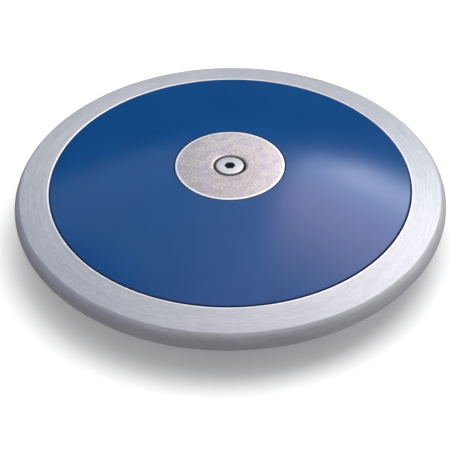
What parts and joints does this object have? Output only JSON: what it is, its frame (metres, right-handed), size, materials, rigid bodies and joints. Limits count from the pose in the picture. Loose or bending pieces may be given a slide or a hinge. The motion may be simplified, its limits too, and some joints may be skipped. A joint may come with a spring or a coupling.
{
  "type": "throwing discus",
  "caption": "Throwing discus: steel rim with a rounded grip, two shallow conical plastic side plates, and flush steel centre plates clamped by socket screws.",
  "frame": {"origin": "centre of the discus, on the spin axis, in the middle plane between both sides", "axes": "+Z along the spin axis, towards the upper centre plate; +X and +Y lie in the middle plane"},
  "size_m": [0.22, 0.22, 0.045],
  "materials": {
    "rim_steel": "turned steel with a fine brushed grain round the rim",
    "side_plate_plastic": "semi-gloss blue moulded plastic",
    "centre_plate_steel": "fine matt ground steel",
    "screw_steel": "bright plated steel",
    "trim_steel": "plain cold rolled steel",
    "washer_rubber": "matt black rubber"
  },
  "bodies": {
    "root": {"rim": "rim_steel", "upper_side_plate": "side_plate_plastic", "lower_side_plate": "side_plate_plastic", "upper_centre_plate": "centre_plate_steel", "lower_centre_plate": "centre_plate_steel", "upper_centre_screw": "screw_steel", "lower_centre_screw": "screw_steel", "upper_spring_washer": "screw_steel", "lower_spring_washer": "screw_steel", "upper_rubber_washer": "washer_rubber", "lower_rubber_washer": "washer_rubber", "upper_trim_weight": "trim_steel", "lower_trim_weight": "trim_steel", "upper_trim_shim": "trim_steel", "lower_trim_shim": "trim_steel", "coupling_nut": "screw_steel", "rim_dowel_1": "screw_steel", "rim_dowel_2": "screw_steel", "rim_dowel_3": "screw_steel", "rim_dowel_4": "screw_steel", "rim_dowel_5": "screw_steel", "rim_dowel_6": "screw_steel"}
  },
  "joints": []
}
